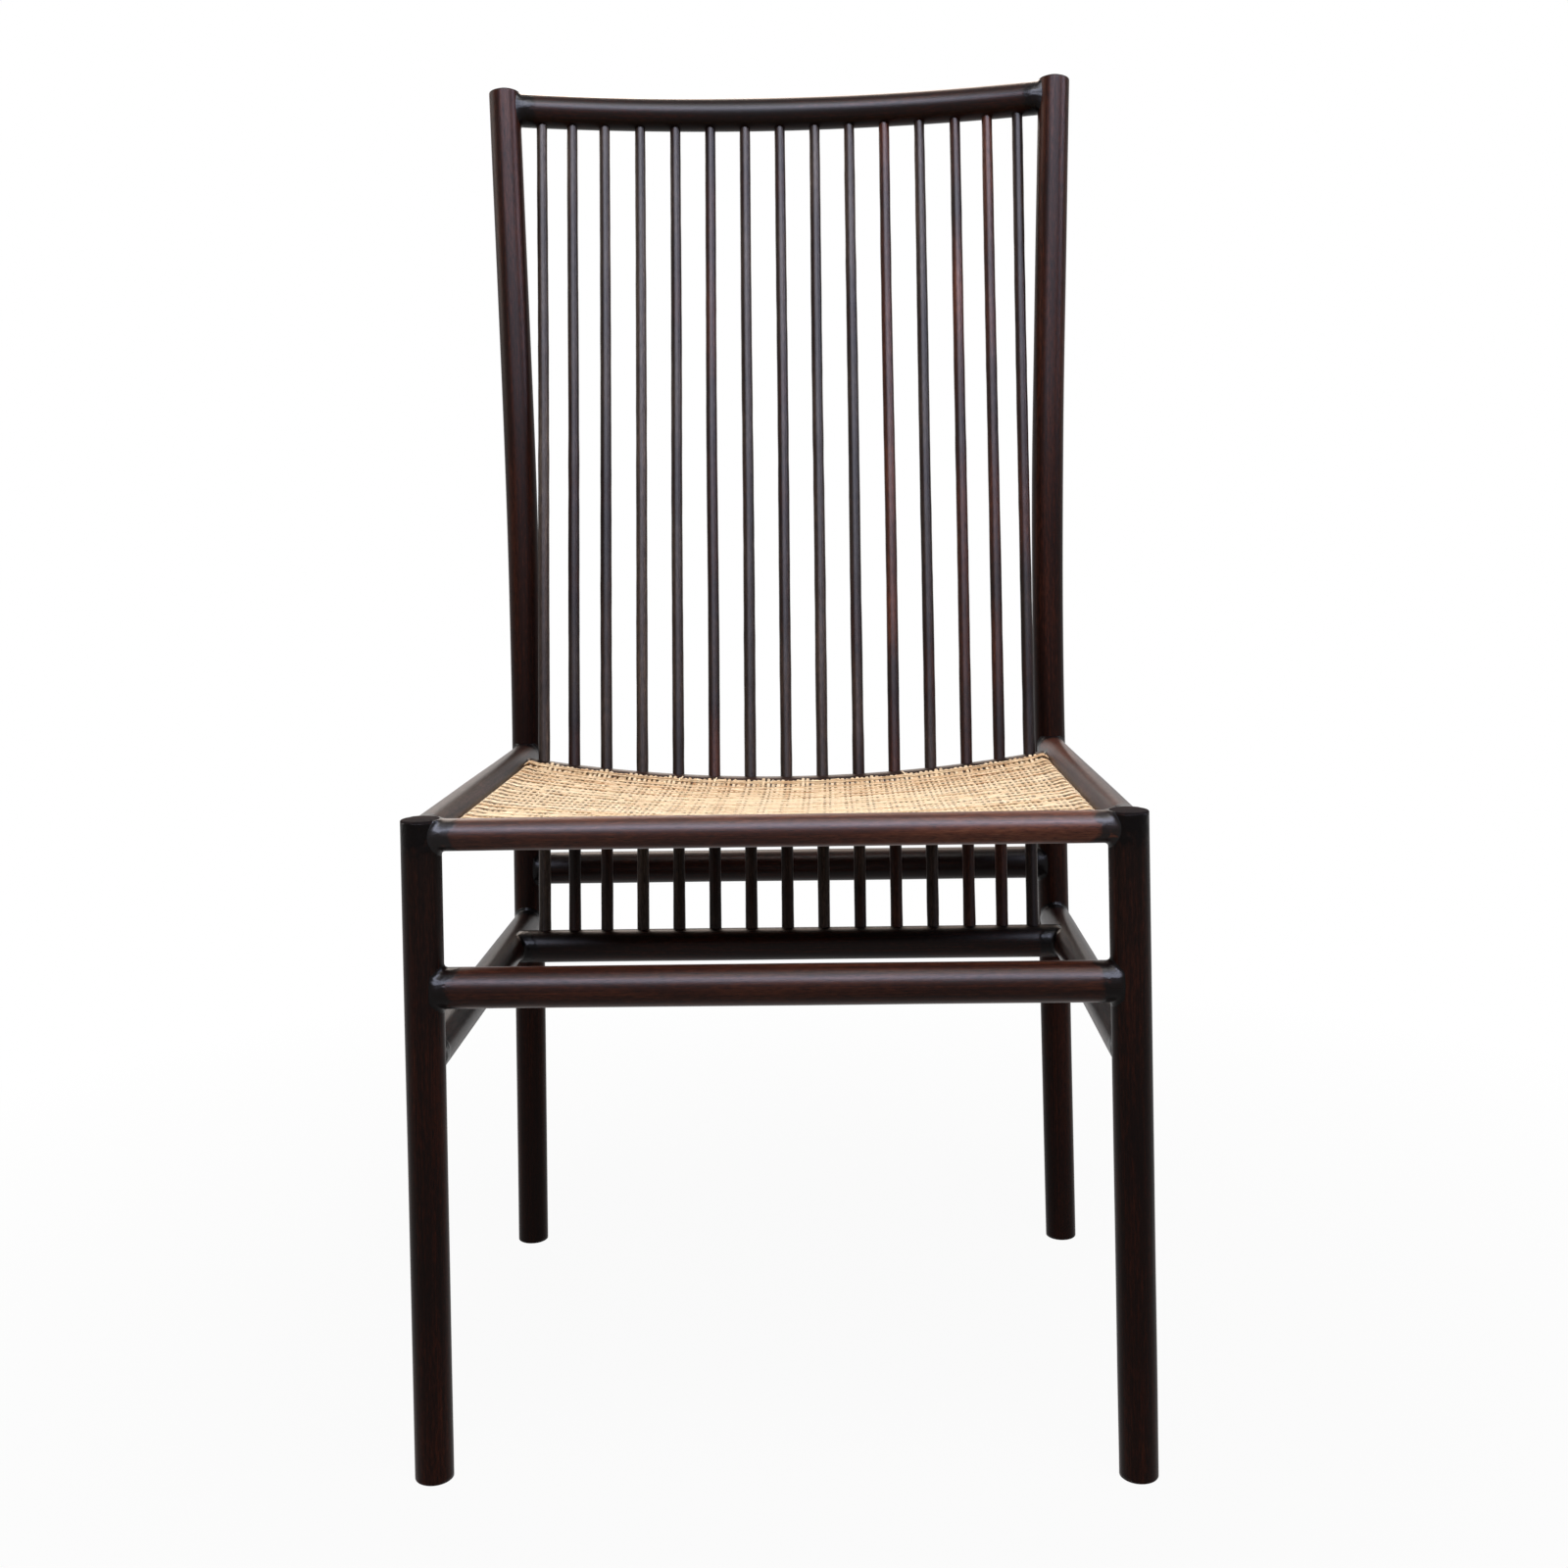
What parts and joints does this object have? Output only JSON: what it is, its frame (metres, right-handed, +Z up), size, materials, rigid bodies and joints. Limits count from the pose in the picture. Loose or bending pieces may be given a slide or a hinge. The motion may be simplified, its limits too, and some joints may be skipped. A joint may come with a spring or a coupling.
{
  "type": "side chair",
  "caption": "Round-membered side chair with splayed legs, a tall back of straight spindles that run down to a lower rail, and a dished woven cane seat.",
  "frame": {"origin": "on the floor, under the middle of the whole chair's length and width", "axes": "+Z up, the chair faces -Y, +X to the right as seen from the front"},
  "size_m": [0.499, 0.5261, 1.0023],
  "materials": {
    "rosewood_frame": "satin oil",
    "rosewood_spindle": "satin oil",
    "rattan_rod": "bare",
    "woven_cane": "bare"
  },
  "bodies": {
    "root": {"front_leg_left": "rosewood_frame", "front_leg_right": "rosewood_frame", "rear_post_left": "rosewood_frame", "rear_post_right": "rosewood_frame", "front_seat_rail": "rosewood_frame", "side_seat_rail_left": "rosewood_frame", "side_seat_rail_right": "rosewood_frame", "rear_seat_rail": "rosewood_frame", "front_stretcher": "rosewood_frame", "side_stretcher_left": "rosewood_frame", "side_stretcher_right": "rosewood_frame", "rear_stretcher": "rosewood_frame", "lower_spindle_rail": "rosewood_frame", "top_rail": "rosewood_frame", "spindle_01": "rosewood_spindle", "spindle_02": "rosewood_spindle", "spindle_03": "rosewood_spindle", "spindle_04": "rosewood_spindle", "spindle_05": "rosewood_spindle", "spindle_06": "rosewood_spindle", "spindle_07": "rosewood_spindle", "spindle_08": "rosewood_spindle", "spindle_09": "rosewood_spindle", "spindle_10": "rosewood_spindle", "spindle_11": "rosewood_spindle", "spindle_12": "rosewood_spindle", "spindle_13": "rosewood_spindle", "spindle_14": "rosewood_spindle", "spindle_15": "rosewood_spindle", "seat_rod_left": "rattan_rod", "seat_rod_right": "rattan_rod", "seat_rod_front": "rattan_rod", "seat_rod_rear": "rattan_rod", "cane_seat": "woven_cane"}
  },
  "joints": []
}
